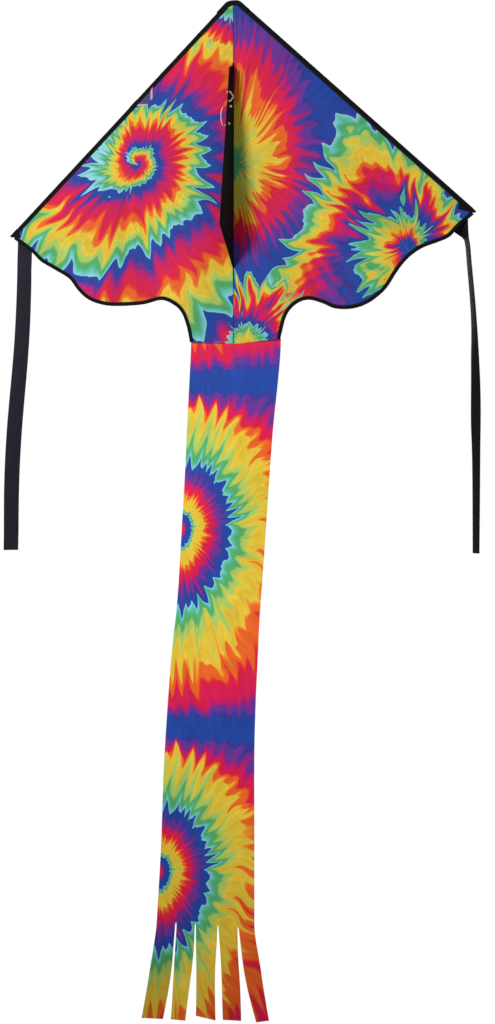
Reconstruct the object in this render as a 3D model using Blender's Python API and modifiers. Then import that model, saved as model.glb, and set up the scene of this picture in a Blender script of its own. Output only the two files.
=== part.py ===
"""Delta kite with a keel, tip ribbons and a long fringed tail.

Metres, +Z up, +X to the kite's right hand as seen from the front, and the front faces -Y.
The origin is the tow point on the keel's leading edge. The sail hangs in a vertical plane.
"""

import math

import bmesh
import bpy
from mathutils import Matrix, Vector

# Place of the kite around its tow point
NOSE_Z = 0.283            # nose above the tow point
SAIL_Y = 0.058            # middle of the sail cloth behind the tow point

# Sail, in a frame with x out from the spine and z up from the nose
NOSE_HALF = 0.020
HALF_SPAN = 0.585
TIP_DROP = 0.536
HEM_Z = -0.818
HEM_HALF = 0.112
TRAILING_EDGE = [
    (HEM_HALF, HEM_Z), (0.120, -0.776), (0.137, -0.744), (0.162, -0.724), (0.192, -0.719),
    (0.235, -0.734), (0.292, -0.738), (0.347, -0.727), (0.385, -0.696), (0.417, -0.650),
    (0.458, -0.621), (0.500, -0.603), (0.540, -0.575), (HALF_SPAN, -TIP_DROP),
]
SLEEVE_WIDTH = 0.0125
BINDING_WIDTH = 0.009
FACING_ENDS = (0.008, 0.098)          # hem facing, out from the spine
FACING_HEIGHT = 0.012
FACING_THICKNESS = 0.0008

# Cloth layers, measured from the middle of the sail cloth, + to the back
CLOTH = 0.0010            # solid thickness of one cloth layer
LAYER_GAP = 0.0004
FRONT_LAYER_Y = -(CLOTH + LAYER_GAP)
BACK_LAYER_Y = CLOTH + LAYER_GAP
SPINE_HALF_GAP = 0.0006   # from the centre line to each half of the sail

# Rods and vinyl fittings
ROD_RADIUS = 0.0020
RUNNING_GAP = 0.0003
CAP_RADIUS = 0.0030
CAP_LENGTH = 0.014
CAP_WALL = 0.003
POCKET_BORE = 0.0034
POCKET_RADIUS = 0.0042
SLEEVE_HALF_DEPTH = 0.0044
SPINE_ROD_Y = 0.0058
EDGE_ROD_Y = 0.0040
SPREADER_Y = 0.0146
SLEEVE_START = 0.034      # along the leading edge, from its upper end
SLEEVE_END_MARGIN = 0.014
ROD_START = 0.055
ROD_END_MARGIN = 0.030
SPREADER_AT = 0.327       # along the leading edge
SLEEVE_OPENING = 0.013    # half the sleeve's opening at the fitting
FITTING_HALF = 0.009
FITTING_RADIUS = 0.0048
SOCKET_REACH = 0.036
SOCKET_DEPTH = 0.026
LABEL_ALONG = (0.278, 0.323)          # the blank label's ends along the left leading edge
LABEL_CORNER = (0.2045, -0.2325)

# Keel, outline as (depth in front of the sail, z from the nose)
KEEL_TOP = -0.152
KEEL_FOOT = -0.642
KEEL_SHOULDER = (0.036, -0.166)
KEEL_APEX = (0.112, -0.537)
KEEL_ROOT = 0.0030        # front of the keel seam tape, where the keel panel starts
KEEL_HINGE = 0.0027
KEEL_TAPE = 0.007
KEEL_TAPE_THICKNESS = 0.0016
KEEL_SEAM_HALF = 0.005
EYELET_RADIUS = 0.0040
EYELET_BORE = 0.0022
EYELET_THICKNESS = 0.0026
EYELETS = {"upper": (0.021, -0.225), "middle": (0.043, -0.262), "lower": (0.050, -0.305)}
TOW_CORD_RADIUS = 0.0009
TOW_LOOP = [
    (0.0045, 0.0430, -0.2620), (0.0000, 0.0430, -0.2620), (-0.0045, 0.0445, -0.2615),
    (-0.0095, 0.0520, -0.2620), (-0.0130, 0.0660, -0.2670), (-0.0145, 0.0765, -0.2760),
    (-0.0148, 0.0790, -0.2870), (-0.0135, 0.0750, -0.2965), (-0.0105, 0.0650, -0.3030),
    (-0.0060, 0.0540, -0.3055), (0.0000, 0.0500, -0.3050), (0.0045, 0.0500, -0.3050),
]
LASHING = [
    (0.0026, 0.0410, -0.2200), (0.0030, 0.0480, -0.2160), (0.0012, 0.0530, -0.2140),
    (-0.0012, 0.0530, -0.2140), (-0.0032, 0.0470, -0.2160), (-0.0032, 0.0340, -0.2195),
    (-0.0028, 0.0235, -0.2245), (-0.0032, 0.0340, -0.2300), (-0.0032, 0.0490, -0.2350),
    (-0.0012, 0.0560, -0.2370), (0.0012, 0.0560, -0.2370), (0.0030, 0.0490, -0.2345),
    (0.0026, 0.0410, -0.2290),
]
KNOT_RADIUS = 0.0028

# Tail and its fringe
TAIL_TOP = -0.8195
FRINGE_TOP = -2.235
FRINGE_FOOT = -2.450
FRINGE_COUNT = 5
FRINGE_GAP = 0.0012
TAIL_TOP_HALF = 0.112
TAIL_HALF = 0.107
TAIL_FLARE = 0.016        # how much wider each side is at the fringe
TAIL_LEAN = -0.078        # sideways drift of the tail's centre line at the fringe
FRINGE_SPREAD = 0.020     # sideways step between neighbouring strips at their feet
FRINGE_DRIFT = 0.004

# Ribbons at the wing tips
RIBBON_WIDTH = 0.038
RIBBON_FOOT = -1.328
RIBBON_X = 0.545          # middle of the ribbon's seam
RIBBON_SEAM_GAP = 0.0026  # from the trailing edge down to the ribbon
RIBBON_DRIFT = {"left": -0.040, "right": 0.038}
RIBBON_TWIST = {"left": (0.0, 40.0), "right": (68.0, 50.0)}   # degrees, near the top and at the foot
RIBBON_TWIST_LENGTH = 0.10

BLACK = (0.012, 0.012, 0.016)
VINYL = (0.02, 0.02, 0.022)
SIDES = {"left": -1, "right": 1}


def clear_scene():
    for obj in list(bpy.data.objects):
        bpy.data.objects.remove(obj)


def collection(name):
    made = bpy.data.collections.new(name)
    bpy.context.scene.collection.children.link(made)
    return made


def material(name, colour, roughness, metallic=0.0):
    made = bpy.data.materials.new(name)
    made.use_nodes = True
    shader = made.node_tree.nodes["Principled BSDF"]
    shader.inputs["Base Color"].default_value = (*colour, 1.0)
    shader.inputs["Roughness"].default_value = roughness
    shader.inputs["Metallic"].default_value = metallic
    return made


def kite_point(x, z, y=0.0):
    """World place of a point of the kite: x from the spine, z from the nose, y from the sail."""
    return Vector((x, SAIL_Y + y, NOSE_Z + z))


def keel_point(x, depth, z):
    """World place of a point of the keel, whose depth grows towards the front."""
    return kite_point(x, z, -depth)


def empty(name, location, parent=None):
    """A joint's frame, with its origin on the joint's axis."""
    made = bpy.data.objects.new(name, None)
    kite.objects.link(made)
    made.location = location
    bpy.context.view_layer.update()
    if parent:
        attach(made, parent)
    return made


def attach(obj, parent):
    obj.parent = parent
    obj.matrix_parent_inverse = parent.matrix_world.inverted()
    bpy.context.view_layer.update()


def add(name, data, mat, parent, matrix=Matrix()):
    data.materials.clear()
    data.materials.append(mat)
    obj = bpy.data.objects.new(name, data)
    kite.objects.link(obj)
    obj.matrix_world = matrix
    bpy.context.view_layer.update()
    if parent:
        attach(obj, parent)
    return obj


def smooth_path(points, steps):
    """Catmull-Rom curve through the points, with a number of steps between neighbours."""
    ends = [2 * points[0] - points[1], *points, 2 * points[-1] - points[-2]]
    path = []
    for a, b, c, d in zip(ends, ends[1:], ends[2:], ends[3:]):
        for step in range(steps):
            t = step / steps
            path.append(
                0.5 * (2 * b + (c - a) * t + (2 * a - 5 * b + 4 * c - d) * t ** 2
                       + (3 * b - a - 3 * c + d) * t ** 3)
            )
    return path + [points[-1].copy()]


# Flat outlines --------------------------------------------------------------------------------

EDGE_TOP = Vector((NOSE_HALF, 0.0))
EDGE_VECTOR = Vector((HALF_SPAN - NOSE_HALF, -TIP_DROP))
EDGE_LENGTH = EDGE_VECTOR.length
EDGE_DIRECTION = EDGE_VECTOR.normalized()
EDGE_INWARD = Vector((EDGE_DIRECTION.y, -EDGE_DIRECTION.x))


def edge_point(distance, inset=0.0):
    """A point of the right wing's leading edge, as (x, z), set in from the outline."""
    return EDGE_TOP + EDGE_DIRECTION * distance + EDGE_INWARD * inset


def edge_inset(point):
    return (point - EDGE_TOP).dot(EDGE_INWARD)


def trailing_edge(inset):
    """The right wing's trailing edge from the hem to the tip, set in from the outline."""
    path = smooth_path([Vector(p) for p in TRAILING_EDGE], 5)
    moved = []
    for index, point in enumerate(path):
        ahead = path[min(index + 1, len(path) - 1)]
        behind = path[max(index - 1, 0)]
        direction = (ahead - behind).normalized()
        moved.append(point + Vector((-direction.y, direction.x)) * inset)
    return moved


def inside_sleeve(path, inset):
    """The part of a path that lies at least inset from the leading edge, with a new end on it."""
    kept = [point for point in path if edge_inset(point) >= inset]
    last = kept[-1]
    following = path[path.index(last) + 1]
    share = (edge_inset(last) - inset) / (edge_inset(last) - edge_inset(following))
    return kept + [last.lerp(following, share)]


def sail_outline():
    sleeve_edge = SLEEVE_WIDTH + LAYER_GAP
    rear = inside_sleeve(trailing_edge(BINDING_WIDTH + LAYER_GAP), sleeve_edge)
    rear[0].y = HEM_Z
    along = (SPINE_HALF_GAP - edge_point(0, sleeve_edge).x) / EDGE_DIRECTION.x
    return [Vector((SPINE_HALF_GAP, HEM_Z)), *rear, edge_point(along, sleeve_edge)]


def binding_outline():
    sleeve_edge = SLEEVE_WIDTH + LAYER_GAP
    outer = inside_sleeve(trailing_edge(0.0), sleeve_edge)
    inner = inside_sleeve(trailing_edge(BINDING_WIDTH), sleeve_edge)
    inner[0].y = HEM_Z
    return outer + inner[::-1]


def flat_data(name, outline, thickness):
    """A flat plate: a closed outline in the curve's own plane, extruded to its thickness."""
    data = bpy.data.curves.new(name, "CURVE")
    data.dimensions = "2D"
    data.fill_mode = "BOTH"
    data.extrude = thickness / 2
    spline = data.splines.new("POLY")
    spline.points.add(len(outline) - 1)
    for control, (x, y) in zip(spline.points, outline):
        control.co = (x, y, 0, 1)
    spline.use_cyclic_u = True
    return data


UPRIGHT = Matrix.Rotation(math.pi / 2, 4, "X")
SIDEWAYS = Matrix(((0, 0, -1, 0), (-1, 0, 0, 0), (0, 1, 0, 0), (0, 0, 0, 1)))


def sail_plate(name, outline, side, layer_y, mat, parent, thickness=CLOTH):
    """A plate parallel to the sail, from an outline drawn for the right wing."""
    data = flat_data(name, [(side * x, z) for x, z in outline], thickness)
    return add(name, data, mat, parent, Matrix.Translation(kite_point(0, 0, layer_y)) @ UPRIGHT)


def keel_plate(name, outline, mat, parent, thickness):
    """A plate in the keel's plane, from an outline of (depth, z)."""
    data = flat_data(name, outline, thickness)
    return add(name, data, mat, parent, Matrix.Translation(kite_point(0, 0)) @ SIDEWAYS)


# Round pieces ---------------------------------------------------------------------------------


def rod_frame(start, end):
    """Local +Z along the line from start to end, with the origin halfway."""
    turn = (end - start).to_track_quat("Z", "X").to_matrix().to_4x4()
    return Matrix.Translation((start + end) / 2) @ turn


def cylinder_data(name, length, radius, squash=1.0, segments=16):
    """A cylinder along local Z; squash narrows it along local X."""
    data = bpy.data.meshes.new(name)
    bm = bmesh.new()
    bmesh.ops.create_cone(
        bm, cap_ends=True, segments=segments, radius1=radius, radius2=radius, depth=length
    )
    bmesh.ops.scale(bm, verts=bm.verts, vec=(squash, 1, 1))
    bm.to_mesh(data)
    bm.free()
    return data


def cylinder(name, start, end, radius, mat, parent, segments=16):
    data = cylinder_data(name, (end - start).length, radius, segments=segments)
    obj = add(name, data, mat, parent, rod_frame(start, end))
    data.shade_smooth()
    data.set_sharp_from_angle(angle=math.radians(40))
    return obj


def cut_with(obj, cutter_data, matrix, operation="DIFFERENCE"):
    """Cut obj with a shape, or join a shape to it, through a Boolean modifier."""
    number = len(cutters.objects)
    cutter = bpy.data.objects.new(f"cutter_{number}", cutter_data)
    cutters.objects.link(cutter)
    cutter.matrix_world = matrix
    cutter.hide_render = True
    cutter.display_type = "WIRE"
    modifier = obj.modifiers.new(f"cut_{number}", "BOOLEAN")
    modifier.operation = operation
    modifier.solver = "EXACT"
    modifier.object = cutter


def bore(obj, start, end, radius):
    data = cylinder_data("bore", (end - start).length, radius)
    cut_with(obj, data, rod_frame(start, end))


def end_cap(name, rod_end, outward, parent):
    """A vinyl cap pushed over a rod's end, which it covers with a thin wall."""
    top = rod_end + outward * CAP_WALL
    foot = top - outward * CAP_LENGTH
    cap = cylinder(name, foot, top, CAP_RADIUS, vinyl, parent)
    bore(cap, foot - outward * 0.001, rod_end + outward * RUNNING_GAP, ROD_RADIUS + RUNNING_GAP)


def tube_data(name, path, radius):
    data = bpy.data.curves.new(name, "CURVE")
    data.dimensions = "3D"
    data.bevel_depth = radius
    data.bevel_resolution = 2
    data.use_fill_caps = True
    spline = data.splines.new("POLY")
    spline.points.add(len(path) - 1)
    for control, point in zip(spline.points, path):
        control.co = (*point, 1)
    return data


def cloth_strip(name, place, rows, columns, mat, parent, origin):
    """A strip of cloth: a grid laid out by place(across, down), both from 0 to 1, and thickened."""
    data = bpy.data.meshes.new(name)
    bm = bmesh.new()
    bmesh.ops.create_grid(bm, x_segments=columns, y_segments=rows, size=0.5)
    for vert in bm.verts:
        vert.co = place(vert.co.x + 0.5, 0.5 - vert.co.y) - origin
    bm.to_mesh(data)
    bm.free()
    strip = add(name, data, mat, parent, Matrix.Translation(origin))
    solid = strip.modifiers.new("thickness", "SOLIDIFY")
    solid.thickness = CLOTH
    solid.offset = 0
    solid.use_even_offset = True
    return strip


# Sub-assemblies -------------------------------------------------------------------------------


def build_centre():
    """Spine rod in its pocket, the nose patch, the keel seam tape and the spreader rod."""
    top, foot = -0.022, -0.800
    cylinder("spine_rod", kite_point(0, foot, SPINE_ROD_Y), kite_point(0, top, SPINE_ROD_Y),
             ROD_RADIUS, fibreglass, None)
    end_cap("spine_nose_cap", kite_point(0, top, SPINE_ROD_Y), Vector((0, 0, 1)), None)
    end_cap("spine_tail_cap", kite_point(0, foot, SPINE_ROD_Y), Vector((0, 0, -1)), None)
    pocket_foot = kite_point(0, foot - 0.008, SPINE_ROD_Y)
    pocket_top = kite_point(0, top + 0.009, SPINE_ROD_Y)
    pocket = cylinder("spine_pocket", pocket_foot, pocket_top, POCKET_RADIUS, black_cloth, None)
    along = Vector((0, 0, 0.001))
    bore(pocket, pocket_foot - along, pocket_top + along, POCKET_BORE)

    patch = [(NOSE_HALF - 0.004, 0), (0.034, -0.014), (0.0, -0.036)]
    outline = patch + [(-x, z) for x, z in patch[-2::-1]]
    sail_plate("nose_patch", outline, 1, FRONT_LAYER_Y, black_cloth, None)

    seam = [(-KEEL_SEAM_HALF, KEEL_FOOT), (KEEL_SEAM_HALF, KEEL_FOOT),
            (KEEL_SEAM_HALF, KEEL_TOP), (0, KEEL_TOP + 0.008), (-KEEL_SEAM_HALF, KEEL_TOP)]
    sail_plate("keel_seam_tape", seam, 1, FRONT_LAYER_Y, black_cloth, None)

    fitting = edge_point(SPREADER_AT, SLEEVE_WIDTH / 2)
    reach = fitting.x - SOCKET_REACH + SOCKET_DEPTH - RUNNING_GAP
    cylinder("spreader_rod", kite_point(-reach, fitting.y, SPREADER_Y),
             kite_point(reach, fitting.y, SPREADER_Y), ROD_RADIUS, fibreglass, None)


def edge_world(side, distance, inset=SLEEVE_WIDTH / 2, y=EDGE_ROD_Y):
    x, z = edge_point(distance, inset)
    return kite_point(side * x, z, y)


def sleeve(name, side, start, end, parent):
    a, b = edge_world(side, start), edge_world(side, end)
    data = cylinder_data(name, (b - a).length, SLEEVE_WIDTH / 2, SLEEVE_HALF_DEPTH * 2 / SLEEVE_WIDTH)
    along = (b - a).normalized()
    across = Vector((0, 1, 0))
    frame = Matrix((across, along.cross(across), along)).transposed().to_4x4()
    obj = add(name, data, black_cloth, parent, Matrix.Translation((a + b) / 2) @ frame)
    bore(obj, a - along * 0.001, b + along * 0.001, POCKET_BORE)


def fitting(name, side, parent):
    """A vinyl fitting: a ring on the leading edge rod with a socket for the spreader rod."""
    centre = edge_world(side, SPREADER_AT)
    along = (edge_world(side, SPREADER_AT + 1) - centre).normalized()
    ring_ends = centre - along * FITTING_HALF, centre + along * FITTING_HALF
    ring = cylinder(name, *ring_ends, FITTING_RADIUS, vinyl, parent)
    inward = Vector((-side, 0, 0))
    socket = centre + Vector((0, SPREADER_Y - EDGE_ROD_Y, 0))
    neck = cylinder_data("neck", SPREADER_Y - EDGE_ROD_Y, FITTING_RADIUS * 0.9)
    cut_with(ring, neck, rod_frame(centre, socket), "UNION")
    mouth = socket + inward * SOCKET_REACH
    heel = socket - inward * FITTING_RADIUS
    tube = cylinder_data("socket", (mouth - heel).length, FITTING_RADIUS)
    cut_with(ring, tube, rod_frame(heel, mouth), "UNION")
    bore(ring, ring_ends[0] - along * 0.002, ring_ends[1] + along * 0.002, ROD_RADIUS + RUNNING_GAP)
    bore(ring, mouth - inward * SOCKET_DEPTH, mouth + inward * 0.002, ROD_RADIUS + RUNNING_GAP)


def build_wing(name, side):
    """One half of the sail with everything sewn or fitted to it, hinged on the spine."""
    wing = empty(f"{name}_wing_frame", kite_point(0, 0))
    sail_plate(f"{name}_sail", sail_outline(), side, 0, sail_cloth, wing)
    sail_plate(f"{name}_trailing_binding", binding_outline(), side, 0, black_cloth, wing)
    inner_end, outer_end = FACING_ENDS
    hem = [(inner_end, HEM_Z), (outer_end, HEM_Z), (outer_end, HEM_Z + FACING_HEIGHT),
           (inner_end, HEM_Z + FACING_HEIGHT)]
    sail_plate(f"{name}_hem_facing", hem, side, BACK_LAYER_Y, sail_cloth, wing, FACING_THICKNESS)

    tip = edge_point(EDGE_LENGTH)
    patch = [tip + Vector((-0.004, 0.001)), edge_point(EDGE_LENGTH - 0.060, 0.002),
             Vector((0.5180, -0.5470)), Vector((0.5420, -0.5660))]
    sail_plate(f"{name}_tip_patch", patch, side, FRONT_LAYER_Y, black_cloth, wing)

    rod_end = EDGE_LENGTH - ROD_END_MARGIN
    top, foot = edge_world(side, ROD_START), edge_world(side, rod_end)
    along = (foot - top).normalized()
    cylinder(f"{name}_edge_rod", top, foot, ROD_RADIUS, fibreglass, wing)
    end_cap(f"{name}_rod_nose_cap", top, -along, wing)
    end_cap(f"{name}_rod_tip_cap", foot, along, wing)
    sleeve(f"{name}_upper_sleeve", side, SLEEVE_START, SPREADER_AT - SLEEVE_OPENING, wing)
    sleeve(f"{name}_lower_sleeve", side, SPREADER_AT + SLEEVE_OPENING,
           EDGE_LENGTH - SLEEVE_END_MARGIN, wing)
    fitting(f"{name}_spreader_fitting", side, wing)
    build_ribbon(name, side, wing)
    if name == "left":
        beside = SLEEVE_WIDTH + LAYER_GAP
        label = [edge_point(distance, beside) for distance in LABEL_ALONG] + [LABEL_CORNER]
        sail_plate("left_blank_label", label, side, FRONT_LAYER_Y, sail_cloth, wing)


def ribbon_place(name, side):
    """Where a ribbon's cloth lies: sewn along the trailing edge, then turning about its middle."""
    edge = trailing_edge(0.0)
    reach = RIBBON_WIDTH / 2
    top_twist, foot_twist = RIBBON_TWIST[name]
    lower = min(edge, key=lambda p: abs(p.x - (RIBBON_X - reach)))
    upper = min(edge, key=lambda p: abs(p.x - (RIBBON_X + reach)))
    seam_z = (lower.y + upper.y) / 2 - RIBBON_SEAM_GAP
    slope = (upper.y - lower.y) / (upper.x - lower.x)

    def place(across, down):
        z_mid = seam_z + (RIBBON_FOOT - seam_z) * down
        turned = min(1.0, (seam_z - z_mid) / RIBBON_TWIST_LENGTH)
        ease = turned * turned * (3 - 2 * turned)
        twist = math.radians(ease * (top_twist + (foot_twist - top_twist) * down))
        offset = (across - 0.5) * RIBBON_WIDTH
        x = side * RIBBON_X + RIBBON_DRIFT[name] * down + offset * math.cos(twist)
        z = z_mid + side * slope * offset * (1 - ease)
        return kite_point(x, z, offset * math.sin(twist))

    return place, slope, seam_z


def build_ribbon(name, side, wing):
    place, _, seam_z = ribbon_place(name, side)
    origin = kite_point(side * RIBBON_X, seam_z)
    frame = empty(f"{name}_ribbon_frame", origin, wing)
    cloth_strip(f"{name}_ribbon", place, 36, 2, ribbon_cloth, frame, origin)


def build_keel():
    """The black keel with its edge tape, eyelets and cords, hinged on its seam."""
    keel = empty("keel_frame", keel_point(0, KEEL_HINGE, 0))
    outer = [Vector((KEEL_ROOT, KEEL_TOP)), Vector(KEEL_SHOULDER), Vector(KEEL_APEX),
             Vector((KEEL_ROOT, KEEL_FOOT))]
    inner = inset_outline(outer, KEEL_TAPE)
    panel = inset_outline(outer, KEEL_TAPE + LAYER_GAP)
    keel_plate("keel_edge_tape", outer + inner[::-1], black_cloth, keel, KEEL_TAPE_THICKNESS)
    keel_panel = keel_plate("keel", panel, black_cloth, keel, CLOTH)
    keel_panel = as_mesh(keel_panel)
    for name, (depth, z) in EYELETS.items():
        left, right = keel_point(-0.005, depth, z), keel_point(0.005, depth, z)
        bore(keel_panel, left, right, EYELET_RADIUS + RUNNING_GAP)
        ring = cylinder(f"keel_eyelet_{name}", keel_point(-EYELET_THICKNESS / 2, depth, z),
                        keel_point(EYELET_THICKNESS / 2, depth, z), EYELET_RADIUS, brass, keel, 20)
        bore(ring, left, right, EYELET_BORE)
    build_tow_cords(keel)


def inset_outline(outline, inset):
    """The open outline moved inwards by a tape's width, with its ends kept on the keel's root."""
    lines = []
    for a, b in zip(outline, outline[1:]):
        direction = (b - a).normalized()
        normal = Vector((direction.y, -direction.x))
        if normal.x > 0:
            normal = -normal
        lines.append((a + normal * inset, direction))
    root = (Vector((KEEL_ROOT, 0)), Vector((0, 1)))
    meets = [root, *lines, root]
    return [crossing(first, second) for first, second in zip(meets, meets[1:])]


def crossing(first, second):
    """Where two lines of the plane, each a point and a direction, cross."""
    (a, u), (b, v) = first, second
    between = b - a
    share = (between.x * v.y - between.y * v.x) / (u.x * v.y - u.y * v.x)
    return a + u * share


def as_mesh(curve_object):
    """The same piece as a mesh with its caps welded, which a Boolean can cut."""
    bpy.context.view_layer.update()
    evaluated = curve_object.evaluated_get(bpy.context.evaluated_depsgraph_get())
    data = bpy.data.meshes.new_from_object(evaluated)
    bm = bmesh.new()
    bm.from_mesh(data)
    bmesh.ops.remove_doubles(bm, verts=bm.verts, dist=0.00001)
    bm.to_mesh(data)
    bm.free()
    name, mat, parent = curve_object.name, curve_object.data.materials[0], curve_object.parent
    matrix = curve_object.matrix_world.copy()
    bpy.data.objects.remove(curve_object)
    return add(name, data, mat, parent, matrix)


def build_tow_cords(keel):
    """The lashing over the keel's edge, and the tow loop with a stopper knot at each end."""
    lashing = smooth_path([keel_point(*p) for p in LASHING], 3)
    add("keel_lashing", tube_data("keel_lashing", lashing, TOW_CORD_RADIUS), cord, keel)
    loop = smooth_path([keel_point(*p) for p in TOW_LOOP], 3)
    add("tow_loop", tube_data("tow_loop", loop, TOW_CORD_RADIUS), cord, keel)
    for name, end in {"upper": TOW_LOOP[0], "lower": TOW_LOOP[-1]}.items():
        x, depth, z = end
        centre = keel_point(x + KNOT_RADIUS + RUNNING_GAP, depth, z)
        data = bpy.data.meshes.new(f"tow_knot_{name}")
        bm = bmesh.new()
        bmesh.ops.create_uvsphere(bm, u_segments=12, v_segments=8, radius=KNOT_RADIUS)
        bm.to_mesh(data)
        bm.free()
        data.shade_smooth()
        add(f"tow_knot_{name}", data, cord, keel, Matrix.Translation(centre))


def tail_half(z):
    """Half the tail's width: full at the seam, a little narrower below, wider at the fringe."""
    down = (TAIL_TOP - z) / (TAIL_TOP - FRINGE_TOP)
    narrowing = (TAIL_TOP_HALF - TAIL_HALF) * max(0.0, 1 - 3 * down)
    return TAIL_HALF + narrowing + TAIL_FLARE * down ** 3


def tail_middle(z):
    return TAIL_LEAN * ((TAIL_TOP - z) / (TAIL_TOP - FRINGE_TOP)) ** 1.1


def build_tail():
    """The tail strip, hinged on its seam, and the fringe strips hinged where the slits start."""
    seam = kite_point(0, TAIL_TOP)
    tail = empty("tail_frame", seam)

    def tail_place(across, down):
        z = TAIL_TOP + (FRINGE_TOP - TAIL_TOP) * down
        return kite_point(tail_middle(z) + (2 * across - 1) * tail_half(z), z)

    cloth_strip("tail", tail_place, 28, 5, tail_cloth, tail, seam)
    strip_half = tail_half(FRINGE_TOP) / FRINGE_COUNT
    for index in range(FRINGE_COUNT):
        rank = index - (FRINGE_COUNT - 1) / 2
        top_x = tail_middle(FRINGE_TOP) + 2 * strip_half * rank

        def fringe_place(across, down, rank=rank, top_x=top_x):
            start = FRINGE_TOP - FRINGE_GAP
            spread = (FRINGE_SPREAD * rank + FRINGE_DRIFT) * down ** 1.3
            half = strip_half - FRINGE_GAP / 2
            return kite_point(top_x + spread + (2 * across - 1) * half,
                              start + (FRINGE_FOOT - start) * down)

        origin = kite_point(top_x, FRINGE_TOP - FRINGE_GAP / 2)
        number = index + 1
        frame = empty(f"fringe_{number}_frame", origin, tail)
        cloth_strip(f"fringe_{number}", fringe_place, 8, 1, tail_cloth, frame, origin)


clear_scene()
kite = collection("delta_kite")
cutters = collection("cutters")

sail_cloth = material("printed_ripstop", (0.80, 0.42, 0.08), 0.55)
tail_cloth = material("printed_tail_cloth", (0.78, 0.10, 0.18), 0.55)
black_cloth = material("black_cloth", BLACK, 0.75)
ribbon_cloth = material("ribbon_cloth", (0.025, 0.025, 0.035), 0.6)
fibreglass = material("fibreglass", (0.03, 0.03, 0.035), 0.3)
vinyl = material("vinyl", VINYL, 0.45)
brass = material("eyelet_metal", (0.60, 0.60, 0.60), 0.35, 1.0)
cord = material("white_cord", (0.85, 0.84, 0.80), 0.8)

build_centre()
for side_name, side_sign in SIDES.items():
    build_wing(side_name, side_sign)
build_keel()
build_tail()
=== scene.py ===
"""Visual model of a delta kite with tie-dye cloth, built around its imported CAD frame.

Metres, in the CAD's frame: +Z up, +X to the kite's right hand, and the front faces -Y.
Flat places on the sail are (x, z): x from the spine, z from the nose.
"""

import math

import bmesh
import bpy
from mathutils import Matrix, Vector, noise


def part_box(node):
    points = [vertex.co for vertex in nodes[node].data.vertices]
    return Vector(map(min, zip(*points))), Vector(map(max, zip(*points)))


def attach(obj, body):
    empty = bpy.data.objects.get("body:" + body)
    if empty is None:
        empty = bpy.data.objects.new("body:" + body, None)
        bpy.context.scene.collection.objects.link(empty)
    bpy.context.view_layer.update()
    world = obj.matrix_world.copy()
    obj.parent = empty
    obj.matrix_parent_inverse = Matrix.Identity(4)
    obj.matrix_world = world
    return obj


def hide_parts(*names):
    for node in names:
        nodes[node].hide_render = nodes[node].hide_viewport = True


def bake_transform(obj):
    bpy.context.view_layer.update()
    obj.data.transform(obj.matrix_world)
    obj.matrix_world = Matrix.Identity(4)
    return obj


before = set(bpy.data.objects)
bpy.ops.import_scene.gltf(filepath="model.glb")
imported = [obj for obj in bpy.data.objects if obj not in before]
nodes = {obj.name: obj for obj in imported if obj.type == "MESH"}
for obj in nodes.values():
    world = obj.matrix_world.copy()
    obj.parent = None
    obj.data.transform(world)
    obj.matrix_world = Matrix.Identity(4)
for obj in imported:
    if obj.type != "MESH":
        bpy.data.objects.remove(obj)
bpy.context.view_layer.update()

# Sizes of part.py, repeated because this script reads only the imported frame. KEEL_APEX is not
# part.py's: the keel's corner stands 9 mm further forward and 19 mm lower here.
NOSE_Z = 0.283
SAIL_Y = 0.058
NOSE_HALF = 0.020
HALF_SPAN = 0.585
TIP_DROP = 0.536
HEM_Z = -0.818
SLEEVE_WIDTH = 0.0125
SPREADER_AT = 0.327
KEEL_TOP, KEEL_FOOT = -0.152, -0.642
KEEL_SHOULDER = (0.036, -0.166)
KEEL_APEX = (0.121, -0.556)
KEEL_ROOT = 0.0030
ROD_GIRTH = 0.0126
TAIL_TOP = -0.8195
FRINGE_TOP = -2.235
TOW_CORD_RADIUS = 0.0009
# Routes of the tow loop and the lashing as (x, depth in front of the sail, z). They were fitted
# to the photo here and are not part.py's points.
TOW_LOOP = [
    (0.0050, 0.0430, -0.2620), (0.0000, 0.0430, -0.2620), (-0.0040, 0.0450, -0.2618),
    (-0.0070, 0.0530, -0.2640), (-0.0088, 0.0660, -0.2710), (-0.0094, 0.0740, -0.2815),
    (-0.0096, 0.0765, -0.2940), (-0.0090, 0.0735, -0.3060), (-0.0078, 0.0650, -0.3140),
    (-0.0062, 0.0560, -0.3125), (-0.0040, 0.0500, -0.3050), (0.0000, 0.0500, -0.3050),
]
TOW_KNOTS = {"upper": (0.0058, 0.0430, -0.2620), "lower": (0.0034, 0.0500, -0.3050)}
KNOT_SIZE = 0.0017
LASHING_RADIUS = 0.0019
LASHING = [
    (0.0000, 0.0440, -0.2262), (0.0034, 0.0400, -0.2272), (0.0036, 0.0290, -0.2290),
    (0.0038, 0.0160, -0.2315), (0.0036, 0.0290, -0.2410), (0.0034, 0.0400, -0.2475),
    (0.0000, 0.0440, -0.2495), (-0.0034, 0.0400, -0.2475), (-0.0036, 0.0290, -0.2410),
    (-0.0038, 0.0160, -0.2315), (-0.0036, 0.0290, -0.2290), (-0.0034, 0.0400, -0.2272),
    (0.0000, 0.0440, -0.2262),
]

# Shapes of the soft pieces
SIDES = {"left": -1, "right": 1}
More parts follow.
